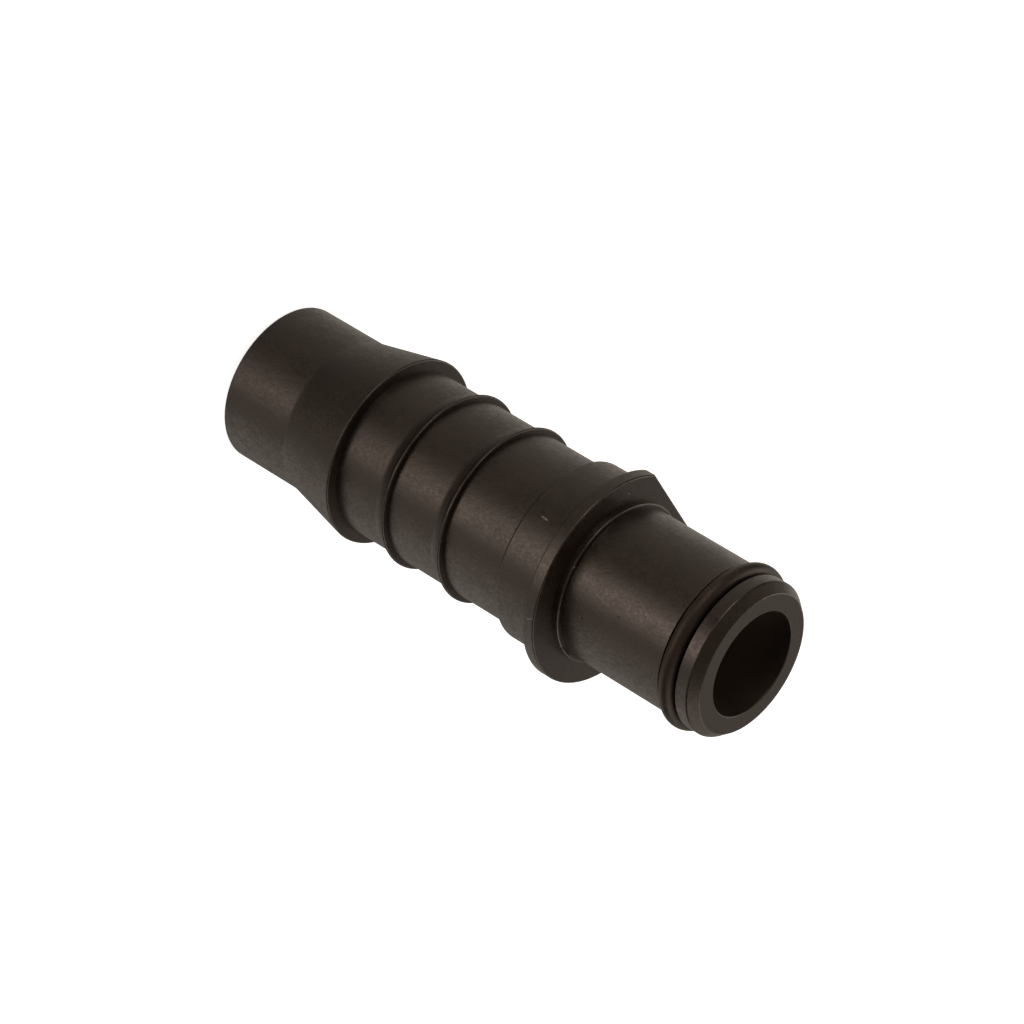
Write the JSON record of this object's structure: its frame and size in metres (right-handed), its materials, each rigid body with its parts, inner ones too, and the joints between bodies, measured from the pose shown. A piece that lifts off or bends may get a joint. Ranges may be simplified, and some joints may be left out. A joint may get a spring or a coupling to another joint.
{
  "type": "barbed hose fitting",
  "caption": "Straight hose fitting: barbed tail, collar, flange with one flat, and a plain spigot sealed by an O-ring near its end.",
  "frame": {"origin": "on the axis, at the hose end's face, which the part stands on", "axes": "+Z along the axis from the hose end to the spigot end; the flange's flat faces -X"},
  "size_m": [0.0229, 0.024, 0.0682],
  "materials": {
    "moulding": "satin black moulding with faint flow speckle",
    "seal": "matte black rubber"
  },
  "bodies": {
    "root": {"fitting_body": "moulding", "o_ring": "seal"}
  },
  "joints": []
}
